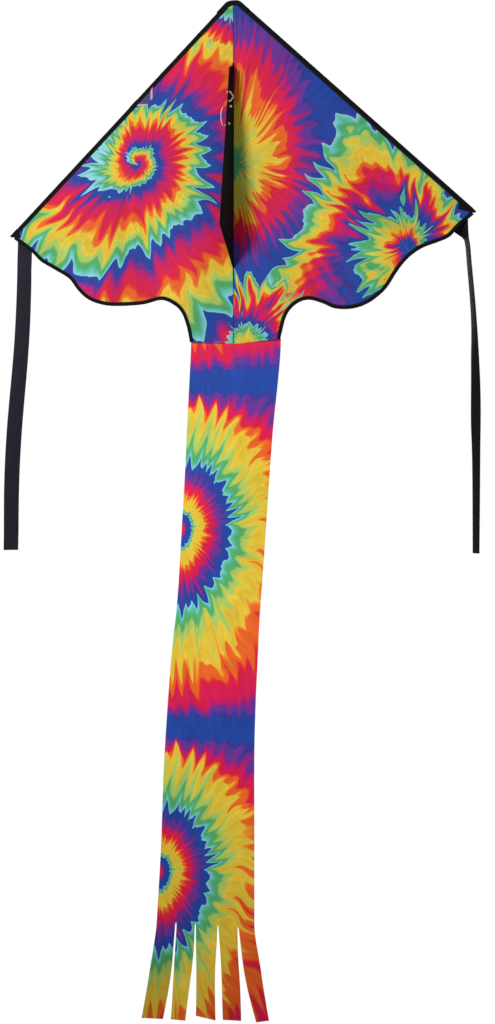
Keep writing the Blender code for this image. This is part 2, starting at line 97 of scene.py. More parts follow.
# (x, z) of the trailing edges. These and TAIL_EDGES are close to the results of a helper script,
# which turned places picked in the photo into metres.
TRAILING = {
    "left": [
        (0.110, -0.817), (0.117, -0.778), (0.129, -0.745), (0.150, -0.725), (0.182, -0.713),
        (0.232, -0.722), (0.306, -0.723), (0.347, -0.715), (0.376, -0.701), (0.400, -0.678),
        (0.421, -0.651), (0.458, -0.628), (0.498, -0.604), (0.527, -0.577), (0.583, -0.537),
    ],
    "right": [
        (0.116, -0.818), (0.122, -0.795), (0.130, -0.767), (0.143, -0.746), (0.165, -0.730),
        (0.190, -0.726), (0.222, -0.736), (0.248, -0.748), (0.278, -0.752), (0.308, -0.749),
        (0.337, -0.738), (0.363, -0.720), (0.380, -0.702), (0.399, -0.672), (0.418, -0.647),
        (0.439, -0.628), (0.463, -0.614), (0.496, -0.603), (0.522, -0.592), (0.546, -0.568),
        (0.584, -0.537),
    ],
}
HEM_SAG = 0.0070
# (z, left edge, right edge) of the hanging tail
TAIL_EDGES = [
    (-0.8195, -0.107, 0.118), (-0.850, -0.108, 0.117), (-0.915, -0.112, 0.111),
    (-1.050, -0.121, 0.096), (-1.252, -0.131, 0.080), (-1.456, -0.144, 0.067),
    (-1.590, -0.157, 0.063), (-1.795, -0.169, 0.055), (-2.000, -0.181, 0.053),
    (-2.235, -0.196, 0.053),
]
TAIL_FOOT_WIDTH = TAIL_EDGES[-1][2] - TAIL_EDGES[-1][1]
# (left, right) share of the tail's width, (left, right) x and z of the foot, of each strip
FRINGE = [
    ((0.000, 0.197), (-0.236, -0.183), (-2.479, -2.481)),
    ((0.197, 0.394), (-0.162, -0.117), (-2.476, -2.470)),
    ((0.394, 0.627), (-0.100, -0.045), (-2.464, -2.468)),
    ((0.627, 0.831), (-0.027, 0.017), (-2.462, -2.467)),
    ((0.831, 1.000), (0.057, 0.091), (-2.460, -2.452)),
]
SLIT_HALF = 0.0015
CLOTH = 0.0004              # thickness of the sail's and the tail's cloth
NOSE_COVER, NOSE_COVER_Y = 0.030, -0.0030
NOSE_PEAK = 0.0052
TIP_COVER = {"left": 0.026, "right": 0.052}
RIBBON_WIDTH, RIBBON_LENGTH = 0.038, 0.756
RIBBON_SEAM_Z, RIBBON_FOOT, RIBBON_SLOPE = -0.5724, -1.328, 0.8215
RIBBON_X = 0.545
# How far each ribbon drifts sideways, and how far it is turned in degrees, over its way down
RIBBON_DRIFT = {
    "left": [(0.0, 0.0), (0.15, -0.0027), (0.35, -0.0123), (0.6, -0.0266), (0.8, -0.0359),
             (1.0, -0.0397)],
    "right": [(0.0, 0.004), (0.038, 0.0057), (0.114, 0.0102), (0.265, 0.0206), (0.417, 0.0280),
              (0.545, 0.0309), (0.72, 0.0292), (1.0, 0.0280)],
}
RIBBON_TWIST = {
    "left": [(0.0, 0.0), (0.5, 20.0), (1.0, 40.0)],
    "right": [(0.0, 68.0), (0.265, 65.0), (0.417, 54.0), (0.57, 47.5), (0.72, 55.0), (1.0, 60.0)],
}
RIBBON_TWIST_LENGTH = {"left": 0.10, "right": 0.052}
RIBBON_TWIST_START = {"left": 0.0, "right": 0.026}
RIBBON_TUCK = 0.014         # how far each ribbon's top runs up behind the wing
RIBBON_BEHIND = 0.0022
RIBBON_FORWARD = {"left": 0.0, "right": 0.012}
# Shares of the way down over which the tuck and the place behind fade and the others grow
TUCK_FADE, BEHIND_FADE, DRIFT_GROWTH, FORWARD_GROWTH = 0.04, 0.05, 0.06, 0.045

EDGE_TOP = Vector((NOSE_HALF, 0.0))
EDGE_VECTOR = Vector((HALF_SPAN - NOSE_HALF, -TIP_DROP))
EDGE_LENGTH = EDGE_VECTOR.length
EDGE_DIRECTION = EDGE_VECTOR.normalized()
EDGE_INWARD = Vector((EDGE_DIRECTION.y, -EDGE_DIRECTION.x))


def kite_point(x, z, y=0.0):
    return Vector((x, SAIL_Y + y, NOSE_Z + z))


def keel_point(x, depth, z):
    return kite_point(x, z, -depth)


def smooth(t):
    t = min(1.0, max(0.0, t))
    return t * t * (3 - 2 * t)


def smooth_path(points, steps):
    """Catmull-Rom curve through the points, with a number of steps between neighbours."""
    ends = [2 * points[0] - points[1], *points, 2 * points[-1] - points[-2]]
    path = []
    for a, b, c, d in zip(ends, ends[1:], ends[2:], ends[3:]):
        for step in range(steps):
            t = step / steps
            path.append(
                0.5 * (2 * b + (c - a) * t + (2 * a - 5 * b + 4 * c - d) * t ** 2
                       + (3 * b - a - 3 * c + d) * t ** 3)
            )
    return path + [points[-1].copy()]


def read_off(path, at, column):
    """The value in a column of a path, where its first column reaches a place."""
    for a, b in zip(path, path[1:]):
        if (a[0] - at) * (b[0] - at) <= 0 and a[0] != b[0]:
            return a[column] + (b[column] - a[column]) * (at - a[0]) / (b[0] - a[0])
    return min((path[0], path[-1]), key=lambda p: abs(p[0] - at))[column]


# Meshes ---------------------------------------------------------------------------------------


def steps(count):
    """Even shares from 0 to 1."""
    return [i / count for i in range(count + 1)]


def walk(path):
    """Each point of a path, with its direction there and how far along it lies."""
    run = 0.0
    for i, point in enumerate(path):
        before, after = path[max(i - 1, 0)], path[min(i + 1, len(path) - 1)]
        run += (point - before).length
        yield point, (after - before).normalized(), run


def lay_out(place, rows, columns):
    """Grids of points and of flat places, from place(row, column), which gives one of each."""
    made = [[place(row, column) for column in columns] for row in rows]
    return [[point for point, _ in row] for row in made], [[flat for _, flat in row] for row in made]


def finish_mesh(name, verts, faces, flats, mat, sharp=50):
    """An object with smooth shading, whose UV map holds its flat places in metres."""
    data = bpy.data.meshes.new(name)
    data.from_pydata([tuple(v) for v in verts], [], faces)
    data.update()
    flat_map = data.uv_layers.new(name="cloth")
    for loop in data.loops:
        flat_map.data[loop.index].uv = flats[loop.vertex_index]
    bm = bmesh.new()
    bm.from_mesh(data)
    bmesh.ops.recalc_face_normals(bm, faces=bm.faces)
    bm.to_mesh(data)
    bm.free()
    data.shade_smooth()
    data.set_sharp_from_angle(angle=math.radians(sharp))
    data.materials.append(mat)
    obj = bpy.data.objects.new(name, data)
    bpy.context.scene.collection.objects.link(obj)
    return obj


def sheet_mesh(name, grid, flats, thickness, mat):
    """A closed sheet around a grid of points, with the same finish on both sides."""
    rows, columns = len(grid), len(grid[0])

    def normal(r, c):
        across = grid[r][min(c + 1, columns - 1)] - grid[r][max(c - 1, 0)]
        down = grid[min(r + 1, rows - 1)][c] - grid[max(r - 1, 0)][c]
        found = across.cross(down)
        return found.normalized() if found.length > 1e-12 else Vector((0, -1, 0))

    half = thickness / 2
    normals = [[normal(r, c) for c in range(columns)] for r in range(rows)]
    verts = [grid[r][c] + normals[r][c] * half for r in range(rows) for c in range(columns)]
    verts += [grid[r][c] - normals[r][c] * half for r in range(rows) for c in range(columns)]
    flat = [flats[r][c] for r in range(rows) for c in range(columns)] * 2
    back = rows * columns
    faces = []
    for r in range(rows - 1):
        for c in range(columns - 1):
            a = r * columns + c
            quad = (a, a + 1, a + columns + 1, a + columns)
            faces.append(quad)
            faces.append(tuple(back + i for i in reversed(quad)))
    rim = list(range(columns))
    rim += [r * columns + columns - 1 for r in range(1, rows)]
    rim += [(rows - 1) * columns + c for c in range(columns - 2, -1, -1)]
    rim += [r * columns for r in range(rows - 2, 0, -1)]
    for a, b in zip(rim, rim[1:] + rim[:1]):
        faces.append((b, a, back + a, back + b))
    return finish_mesh(name, verts, faces, flat, mat)


def flat_area(flats):
    """Area of a grid of flat places."""
    total = 0.0
    for above, below in zip(flats, flats[1:]):
        for a, b, d, c in zip(above, above[1:], below, below[1:]):
            p, q = Vector(c) - Vector(a), Vector(d) - Vector(b)
            total += abs(p.x * q.y - p.y * q.x) / 2
    return total


def loft(name, rings, flats, mat, sharp=50):
    """A closed tube through rings of points, with both ends filled."""
    count = len(rings[0])
    verts = [point for ring in rings for point in ring]
    flat = [place for ring in flats for place in ring]
    faces = []
    for k in range(len(rings) - 1):
        for i in range(count):
            j = (i + 1) % count
            faces.append((k * count + i, k * count + j, (k + 1) * count + j, (k + 1) * count + i))
    faces.append(tuple(range(count))[::-1])
    faces.append(tuple((len(rings) - 1) * count + i for i in range(count)))
    return finish_mesh(name, verts, faces, flat, mat, sharp)


# Sail surface ---------------------------------------------------------------------------------


def edge_point(distance, inset=0.0):
    return EDGE_TOP + EDGE_DIRECTION * distance + EDGE_INWARD * inset


def edge_inset(x, z):
    return (Vector((x, z)) - EDGE_TOP).dot(EDGE_INWARD)


def hem_z(x):
    return HEM_Z - HEM_SAG * (1 - smooth(abs(x) / 0.11))


def sail_y(side, x, z):
    """Depth of the cloth behind the frame's plane: slack between the rods, with soft folds."""
    inset = max(0.0, edge_inset(x, z) - SLEEVE_WIDTH * 1.1)
    slack = (1 - math.exp(-x / 0.07)) * (1 - math.exp(-inset / 0.06)) * smooth((z - HEM_Z) / 0.10)
    away = Vector((x - 0.02, z + 0.10))
    turn = math.atan2(away.x, -away.y)
    grown = smooth(away.length / 0.60)
    folds = math.sin(turn * 11.0 + (0.6 if side < 0 else 2.1)) * 0.0030 * grown
    folds += noise.noise(Vector((x * 6 + side * 3, z * 6, 4.0))) * 0.0035
    return -slack * (0.009 + folds * 1.3)


TRAILING_PATH = {
    name: smooth_path([Vector(p) for p in points], 6) for name, points in TRAILING.items()
}


def build_sail(name, side, mat):
    """One half of the sail, from the seam on the spine to inside its sleeve and binding."""
    trailing = TRAILING_PATH[name]
    lift = 0.003
    hidden = SLEEVE_WIDTH * 0.45 / EDGE_DIRECTION.x
    slope = EDGE_VECTOR.y / EDGE_VECTOR.x
    hem_end = trailing[0].x
    places = [hem_end * i / 16 for i in range(17)]
    places += [p.x for p in trailing[1:30]]
    last = max(places)
    end = HALF_SPAN - 0.012
    places += [last + (end - last) * i / 56 for i in range(1, 57)]
    columns = []
    for x in sorted(places):
        top = min(0.0, (x - NOSE_HALF) * slope) - hidden * (0.3 if x < NOSE_HALF else 1.0)
        foot = hem_z(x) if x <= hem_end else read_off(trailing, x, 1) + lift
        columns.append((x, top, min(foot, top - 0.0004)))

    def place(down, column):
        x, top, foot = column
        z = top + (foot - top) * down
        return kite_point(side * x, z, sail_y(side, x, z)), (side * x, z)

    grid, flats = lay_out(place, steps(84), columns)
    return sheet_mesh(f"{name}_sail_cloth", grid, flats, CLOTH, mat), flat_area(flats)


BINDING_PROFILE = [
    (-0.0004, 0.0), (0.0000, -0.0009), (0.0012, -0.0012), (0.0050, -0.0012), (0.0082, -0.0011),
    (0.0090, -0.0007), (0.0090, 0.0007), (0.0082, 0.0011), (0.0050, 0.0012), (0.0012, 0.0012),
    (0.0000, 0.0009),
]


def build_binding(name, side, mat):
    """The folded tape along the scalloped trailing edge."""
    trailing = [p for p in TRAILING_PATH[name] if edge_inset(p.x, p.y) > 0.004]

    def place(station, profile):
        (point, direction, run), (inset, y) = station, profile
        at = point + Vector((-direction.y, direction.x)) * inset
        return kite_point(side * at.x, at.y, sail_y(side, at.x, at.y) + y), (run, inset)

    return loft(f"{name}_edge_binding", *lay_out(place, walk(trailing), BINDING_PROFILE), mat)


SLEEVE_PROFILE = [
    (0.0000, 0.0030), (0.0006, 0.0004), (0.0024, -0.0012), (0.0058, -0.0017), (0.0090, -0.0014),
    (0.0112, -0.0012), (0.0128, -0.0010), (0.0130, 0.0000), (0.0128, 0.0010), (0.0112, 0.0013),
    (0.0100, 0.0040), (0.0078, 0.0080), (0.0052, 0.0086), (0.0022, 0.0072), (0.0005, 0.0052),
]
OPENING_HALF = 0.0125


def build_sleeve(name, side, mat):
    """The folded sleeve of the leading edge, cut open at the back around the spreader fitting."""
    stations = [0.004, 0.010]
    while stations[-1] < EDGE_LENGTH - 0.016:
        stations.append(stations[-1] + 0.0075)
    opening = [SPREADER_AT + d for d in (-OPENING_HALF - 0.002, -OPENING_HALF, OPENING_HALF,
                                         OPENING_HALF + 0.002)]
    stations = sorted([s for s in stations if abs(s - SPREADER_AT) > OPENING_HALF + 0.004
                       or abs(s - SPREADER_AT) < OPENING_HALF - 0.002] + opening)

    def place(s, profile):
        k, (inset, y) = profile
        open_here = abs(s - SPREADER_AT) <= OPENING_HALF + 0.0001
        if y > 0:
            y *= 0.35 + 0.65 * smooth((s - 0.004) / 0.040)
        if open_here:
            y = min(y, -0.0012) if k < 6 or k > 9 else y
            y -= 0.0010 if 1 < k < 6 else 0.0
            if k > 9 or k < 2:
                y = -0.0013 if inset > 0.001 else 0.0002
        else:
            y += noise.noise(Vector((s * 22, k * 0.35, side * 5.0))) * 0.0005
        at = edge_point(s, inset)
        return kite_point(side * max(0.0, at.x), at.y, y), (s, inset)

    profile = list(enumerate(SLEEVE_PROFILE))
    return loft(f"{name}_edge_sleeve", *lay_out(place, stations, profile), mat)


# Materials ------------------------------------------------------------------------------------


class Value:
    """A number that varies over a surface: a shader socket, with arithmetic as Math nodes."""

    def __init__(self, tree, socket):
        self.tree, self.socket = tree, socket

    def math(self, operation, *others, clamp=False):
        node = self.tree.nodes.new("ShaderNodeMath")
        node.operation = operation
        node.use_clamp = clamp
        for target, other in zip(node.inputs, (self, *others)):
            plug(self.tree, target, other)
        return Value(self.tree, node.outputs[0])

    def reverse(self, operation, other):
        node = self.tree.nodes.new("ShaderNodeMath")
        node.operation = operation
        plug(self.tree, node.inputs[0], other)
        plug(self.tree, node.inputs[1], self)
        return Value(self.tree, node.outputs[0])

    def __add__(self, other):
        return self.math("ADD", other)

    def __sub__(self, other):
        return self.math("SUBTRACT", other)

    def __mul__(self, other):
        return self.math("MULTIPLY", other)

    def __truediv__(self, other):
        return self.math("DIVIDE", other)

    def __rsub__(self, other):
        return self.reverse("SUBTRACT", other)

    __radd__, __rmul__ = __add__, __mul__

    def fract(self):
        return self.math("FRACT")

    def clamp(self):
        return self.math("ADD", 0.0, clamp=True)

    def above(self, level, soft):
        """0 below the level, 1 above it, with a soft step."""
        return ((self - level) / soft + 0.5).clamp()


def plug(tree, target, source):
    if isinstance(source, Value):
        tree.links.new(source.socket, target)
    else:
        target.default_value = source


class Surface:
    """A Principled material in the making, with its flat place on the cloth in metres."""

    def __init__(self, name, roughness, **constants):
        self.material = bpy.data.materials.new(name)
        self.material.use_nodes = True
        self.tree = self.material.node_tree
        self.shader = self.tree.nodes["Principled BSDF"]
        self.shader.inputs["Roughness"].default_value = roughness
        for socket, value in constants.items():
            self.shader.inputs[socket.replace("_", " ")].default_value = value
        flat = self.node("ShaderNodeUVMap")
        flat.uv_map = "cloth"
        split = self.node("ShaderNodeSeparateXYZ")
        self.tree.links.new(flat.outputs["UV"], split.inputs[0])
        self.u, self.v = (Value(self.tree, split.outputs[i]) for i in (0, 1))

    def node(self, kind, **settings):
        made = self.tree.nodes.new(kind)
        for key, value in settings.items():
            setattr(made, key, value)
        return made

    def noise(self, x, y, z=0.0, detail=0.0, roughness=0.5):
        """Noise at a place, about 0.5 on average; the place's unit is one feature."""
        place = self.node("ShaderNodeCombineXYZ")
        for target, source in zip(place.inputs, (x, y, z)):
            plug(self.tree, target, source)
        made = self.node("ShaderNodeTexNoise")
        made.inputs["Scale"].default_value = 1.0
        made.inputs["Detail"].default_value = detail
        made.inputs["Roughness"].default_value = roughness
        self.tree.links.new(place.outputs[0], made.inputs["Vector"])
        return Value(self.tree, made.outputs["Fac"])

    def curve(self, value, points):
        """A smooth graph through points whose both columns lie between 0 and 1."""
        made = self.node("ShaderNodeFloatCurve")
        graph = made.mapping.curves[0]
        while len(graph.points) < len(points):
            graph.points.new(0.5, 0.5)
        for target, place in zip(graph.points, points):
            target.location = place
            target.handle_type = "AUTO_CLAMPED"
        made.mapping.update()
        plug(self.tree, made.inputs["Value"], value)
        return Value(self.tree, made.outputs[0])

    def ring_curve(self, value, points):
        """A graph of ring phases, which runs on through whole rings where a phase wraps."""
        places, total = [], points[0][1]
        for place, phase in points:
            total += (phase - total + 0.5) % 1.0 - 0.5
            places.append((place, total))
        low = math.floor(min(p for _, p in places))
        span = math.ceil(max(p for _, p in places)) - low
        graph = self.curve(value, [(place, (p - low) / span) for place, p in places])
        return (graph * float(span)).fract()

    def ramp(self, value, stops):
        made = self.node("ShaderNodeValToRGB")
        elements = made.color_ramp.elements
        while len(elements) < len(stops):
            elements.new(0.5)
        for element, (place, colour) in zip(elements, stops):
            element.position = place
            element.color = (*colour, 1.0)
        plug(self.tree, made.inputs["Fac"], value)
        return Value(self.tree, made.outputs["Color"])

    def mix_colour(self, share, first, second, blend="MIX"):
        made = self.node("ShaderNodeMix", data_type="RGBA", blend_type=blend)
        plug(self.tree, made.inputs["Factor"], share)
        for key, source in (("A", first), ("B", second)):
            target = next(s for s in made.inputs if s.name == key and s.type == "RGBA")
            if isinstance(source, Value):
                self.tree.links.new(source.socket, target)
            else:
                target.default_value = (*source, 1.0)
        return Value(self.tree, next(s for s in made.outputs if s.type == "RGBA"))

    def bump(self, height, strength, distance=0.001):
        made = self.node("ShaderNodeBump")
        made.inputs["Strength"].default_value = strength
        made.inputs["Distance"].default_value = distance
        plug(self.tree, made.inputs["Height"], height)
        self.tree.links.new(made.outputs[0], self.shader.inputs["Normal"])

    def paint(self, colour):
        self.tree.links.new(colour.socket, self.shader.inputs["Base Color"])

    def set(self, socket, value):
        plug(self.tree, self.shader.inputs[socket], value)


def rgb(red, green, blue):
    """Linear colour from 0-255 display values."""
    return tuple(((c / 255 + 0.055) / 1.055) ** 2.4 if c > 10 else c / 255 / 12.92
                 for c in (red, green, blue))


DYE = {
    "blue": rgb(34, 70, 160), "indigo": rgb(58, 54, 148), "purple": rgb(98, 56, 152),
    "violet": rgb(120, 44, 140), "magenta": rgb(190, 26, 108), "crimson": rgb(214, 28, 80),
    "red": rgb(222, 28, 62), "scarlet": rgb(226, 52, 44), "orange": rgb(234, 100, 36),
    "amber": rgb(236, 150, 40), "yellow": rgb(230, 198, 62), "gold": rgb(222, 186, 52),
    "lime": rgb(172, 200, 96), "green": rgb(84, 172, 106), "jade": rgb(84, 184, 148),
    "cyan": rgb(112, 196, 198), "pale": rgb(150, 212, 214),
}
# Dyes over the ring phase, which runs from 0 just outside one sharp border to 1 at the next
RINGS = [
    (0.00, "blue"), (0.09, "blue"), (0.14, "indigo"), (0.18, "purple"), (0.22, "violet"),
    (0.26, "magenta"), (0.31, "magenta"), (0.36, "crimson"), (0.44, "crimson"), (0.49, "red"),
    (0.53, "scarlet"), (0.56, "orange"), (0.62, "orange"), (0.645, "amber"), (0.67, "yellow"),
    (0.72, "gold"), (0.76, "yellow"), (0.80, "lime"), (0.84, "lime"), (0.875, "green"),
    (0.915, "green"), (0.94, "jade"), (0.97, "cyan"), (1.00, "pale"),
]


# Of each burst: its noise seed; its inner flames as (teeth per turn, slope, longest); its outer
# flames, with the radius where they take over; and how much it is stretched above and below
BURSTS = {
    "left": (1, (20, 0.12, 0.030), (28, 0.14, 0.032, 0.07), (1.0, 1.0)),
    "flower": (2, (20, 0.42, 0.036), (52, 0.12, 0.022, 0.142), (1.75, 1.15)),
    "nose": (3, (30, 0.22, 0.014), None, (1.0, 0.8)),
    "wing": (4, (20, 0.30, 0.042), (44, 0.09, 0.024, 0.165), (1.0, 1.0)),
    "hem": (5, (26, 0.22, 0.012), (24, 0.36, 0.044, 0.07), (1.0, 1.0)),
    "tail": (6, (30, 0.09, 0.020), (40, 0.13, 0.030, 0.10), (1.28, 1.55)),
}
BORDER_LIFT = 0.1                  # graphs of radius are drawn this much above the curve's floor


class Burst:
    """Rings of dye around a centre, whose borders run out into flames along the rays."""

    def __init__(self, surface, dx, dz, name, clockwise=True):
        seed, flames, outer, squeeze = BURSTS[name]
        upper, lower = squeeze
        if squeeze != (1.0, 1.0):
            dz = dz / (dz.above(0.0, 0.001) * (upper - lower) + lower)
        self.surface, self.seed, self.dx, self.dz = surface, seed, dx, dz
        self.radius = (dx * dx + dz * dz).math("SQRT") + 0.0001
        self.depth = self.radius.math("LOGARITHM", math.e) * 1.6 + seed * 7.3
        ex, ez = dx / self.radius, dz / self.radius
        curl = (surface.noise(ex * 1.4, ez * 1.4, self.radius * 16.0 + seed) - 0.5) * 0.14
        self.ex, self.ez = ex - ez * curl, ez + ex * curl
        angle, wind = (dx.math("ARCTAN2", dz), -1.0) if clockwise else (dz.math("ARCTAN2", dx), 1.0)
        self.turn = ((angle + curl * wind) / math.tau).fract()
        reach = self.flames(1.7, *flames)
        if outer:
            reach = select(self.radius.above(outer[3], 0.03), self.flames(9.4, *outer[:3]), reach)
        self.edge = self.radius + reach
        self.licks = self.teeth(round((outer or flames)[0] * 1.3), 6.2)

    def flames(self, shift, count, slope, longest):
        return self.teeth(count, shift) * (self.radius * slope + 0.001).math("MINIMUM", longest)

    def teeth(self, count, shift):
        """Sharp, uneven teeth around the turn: long ones beside short ones."""
        jitter = self.ray_noise(2.5, 0.45, shift) * 2.6
        tooth = (self.turn * float(count) + jitter).math("PINGPONG", 0.5) * 4.0 - 1.0
        sway = ((self.ray_noise(6.0, 0.6, shift + 3.0) - 0.28) * 2.3).clamp()
        fine = self.ray_noise(13.0, 1.1, shift + 6.0, 1.0) - 0.5
        return tooth * (sway * sway * 1.0 + 0.34) + fine * 1.4

    def ray_noise(self, fineness, change, shift, detail=0.0):
        """Noise that stretches along the rays; fineness is in features per radian."""
        return self.surface.noise(self.ex * fineness + shift, self.ez * fineness + shift,
                                  self.depth * change, detail)

    def border(self, radii, turns, k):
        """Radius of the k-th border in each direction, from a graph of radius over the turns."""
        place = (self.turn + float(k)) / float(turns)
        lifted = [(t / turns, r + BORDER_LIFT) for t, r in radii]
        return self.surface.curve(place, lifted) - BORDER_LIFT

    def rings(self, radii, turns, eye, eye_phase):
        """Ring number, which rises by 1 between one border and the next, and the borders."""
        borders = [self.border(radii, turns, k) for k in range(turns)]
        first = (borders[0] - eye).math("MAXIMUM", 0.0002)
        total = ((self.edge - eye) / first).clamp() * (1.0 - eye_phase) + eye_phase
        for inner, outer in zip(borders, borders[1:]):
            total = total + ((self.edge - inner) / (outer - inner)).clamp()
        return total, borders

    def within(self, limit):
        return (limit - self.edge).above(0.0, 0.0012)

    def between(self, inner, outer):
        return ((self.edge - inner) / (outer - inner)).clamp()


# Where the bursts of the sail are, as (x, z)
LEFT_CENTRE, FLOWER_CENTRE = (-0.246, -0.360), (0.0, -0.392)
WING_CENTRE, HEM_CENTRE = (0.431, -0.610), (0.033, -0.830)
# The left spiral's centre shifts inside this radius, over this soft width
CORE_SHIFT, CORE_RADIUS, CORE_SOFT = (0.0054, -0.0174), 0.085, 0.07
# Sharp border of each spiral as (turns, radius)
LEFT_SPIRAL = [
    (0.0, 0.0), (0.6, 0.003), (0.75, 0.0106), (0.788, 0.025), (0.844, 0.035), (0.875, 0.038),
    (0.937, 0.043), (1.0, 0.0407), (1.085, 0.044), (1.137, 0.053), (1.196, 0.042),
    (1.25, 0.0455), (1.306, 0.0506), (1.355, 0.0504), (1.418, 0.0545), (1.5, 0.061),
    (1.62, 0.105), (1.69, 0.140), (1.75, 0.125), (1.88, 0.110), (2.0, 0.132), (2.09, 0.140),
    (2.16, 0.170), (2.25, 0.178), (2.375, 0.208), (2.47, 0.215), (2.52, 0.245), (2.575, 0.325),
    (2.67, 0.370), (3.0, 0.420), (3.11, 0.410), (3.25, 0.420), (3.36, 0.435), (3.40, 0.445),
    (3.43, 0.450), (3.46, 0.455), (4.0, 0.60), (5.0, 0.80),
]
RIGHT_SPIRAL = [
    (0.0, 0.028), (0.062, 0.038), (0.125, 0.048), (0.19, 0.056), (0.25, 0.088), (0.31, 0.086),
    (0.36, 0.096), (0.39, 0.126), (0.44, 0.120), (0.50, 0.138), (0.56, 0.132), (0.60, 0.138),
    (0.66, 0.160), (0.80, 0.150), (1.0, 0.120), (1.062, 0.132), (1.125, 0.150), (1.19, 0.172),
    (1.25, 0.220), (1.281, 0.262), (1.30, 0.310), (1.325, 0.355), (1.345, 0.340), (1.36, 0.305),
    (1.40, 0.278), (1.44, 0.268), (1.47, 0.278), (1.50, 0.290), (1.52, 0.330), (1.54, 0.370),
    (1.56, 0.440), (1.60, 0.480), (2.0, 0.500),
]
# Ring phase over the ring number of the right spiral, halved
RIGHT_RINGS = [
    (0.000, 0.96), (0.006, 0.02), (0.050, 0.06), (0.095, 0.36), (0.125, 0.50), (0.160, 0.58),
    (0.205, 0.66), (0.300, 0.78), (0.370, 0.86), (0.450, 0.92), (0.496, 0.99), (0.502, 0.02),
    (0.560, 0.10), (0.600, 0.17), (0.665, 0.24), (0.710, 0.42), (0.760, 0.57), (0.805, 0.67),
    (0.885, 0.78), (0.925, 0.86), (0.965, 0.93), (1.000, 0.995),
]
# Ring phase over the radius of the half flower on the spine
FLOWER = [
    (0.000, 0.93), (0.018, 0.90), (0.030, 0.80), (0.080, 0.70), (0.092, 0.62), (0.122, 0.56),
    (0.132, 0.47), (0.152, 0.40), (0.162, 0.30), (0.172, 0.21), (0.200, 0.17), (0.222, 0.09),
    (0.500, 0.03),
]
FLOWER_REACH = 0.5
RIGHT_EYE = 0.009
NOSE_BORDER, NOSE_LIMIT = 0.052, 0.125
HEM_BORDER, HEM_LIMIT = 0.052, 0.155
TAIL_CENTRE, TAIL_PERIOD, TAIL_BELOW = -1.273, 0.841, 0.484
TAIL_REACH = 0.5
PAINTED_SHADE_TOP, PAINTED_SHADE_LENGTH, PAINTED_SHADE_DEPTH = -1.90, 0.55, 0.34    # painted shade: below this the tail's print is darkened a little, for the lower tail's shade
TAIL_YELLOW, TAIL_BAND = 0.222, (0.2620, 0.2990)     # outside the yellow; blue band above, below
# Ring phase over the radius of the tail's half flowers, and from the yellow to the blue band
TAIL_RING = [
    (0.000, 0.45), (0.009, 0.40), (0.016, 0.12), (0.0295, 0.02), (0.0305, 0.99), (0.035, 0.88),
    (0.040, 0.74), (0.056, 0.68), (0.064, 0.58), (0.072, 0.47), (0.083, 0.36), (0.090, 0.21),
    (0.107, 0.14), (0.116, 0.05), (0.128, 0.02), (0.1290, 1.00), (0.140, 0.93), (0.156, 0.86),
    (0.172, 0.79), (0.215, 0.69), (0.500, 0.66),
]
TAIL_OUTER = {
    "above": [(0.0, 0.67), (0.08, 0.60), (0.24, 0.56), (0.33, 0.46), (0.44, 0.33), (0.54, 0.22),
              (0.84, 0.15), (1.0, 0.05)],
    "below": [(0.0, 0.67), (0.10, 0.60), (0.34, 0.56), (0.48, 0.46), (0.72, 0.33), (0.81, 0.21),
              (0.92, 0.14), (1.0, 0.05)],
}


def select(mask, inside, outside):
    return outside + mask * (inside - outside)


def finish_print(surface, phase, burst, lean, seam, level, painted_shade=None):
    """Dye colours over the ring phase, with streaks along the rays, darker seams, optional painted
    shade and a woven surface.
    """
    middle = phase * (1.0 - phase) * 4.0
    widths = burst.ray_noise(1.6, 0.8, 8.8) - 0.5
    phase = phase + middle * (burst.licks * 0.075 + widths * 0.16 + lean)
    colour = surface.ramp(phase, [(place, DYE[name]) for place, name in RINGS])
    streaks = burst.ray_noise(26.0, 0.6, 2.2, 2.0)
    blotches = surface.noise(surface.u * 22.0, surface.v * 22.0, float(burst.seed), 2.0)
    # The seam mask darkens the tone at the joins, partly as painted shade
    tone = ((streaks - 0.5) * 0.50 + (blotches - 0.5) * 0.30 + level) * (1.0 - seam * 0.7)
    # Painted shade, where given, darkens the tone further
    if painted_shade:
        tone = tone * (1.0 - painted_shade)
    shade = surface.node("ShaderNodeCombineColor")
    for target in shade.inputs[:3]:
        plug(surface.tree, target, tone)
    colour = surface.mix_colour(1.0, colour, Value(surface.tree, shade.outputs[0]), "MULTIPLY")
    surface.paint(colour)
    weave_cloth(surface)
    return surface.material


def weave_cloth(surface, pitch=0.005, strength=0.25):
    """Plain weave with thicker threads in a square grid, and soft creases."""
    threads = []
    for along in (surface.u, surface.v):
        line = (along / pitch).math("PINGPONG", 0.5)
        threads.append(1.0 - line.above(0.07, 0.08))
    grid = threads[0].math("MAXIMUM", threads[1])
    weave = ((surface.u * 9000.0).math("SINE") * (surface.v * 9000.0).math("SINE")) * 0.12
    creases = surface.noise(surface.u * 40.0, surface.v * 14.0, 3.0, 3.0, 0.6)
    surface.bump(grid * 0.5 + weave + creases * 2.0, strength, 0.0006)
    surface.set("Roughness", creases * 0.16 + 0.46)


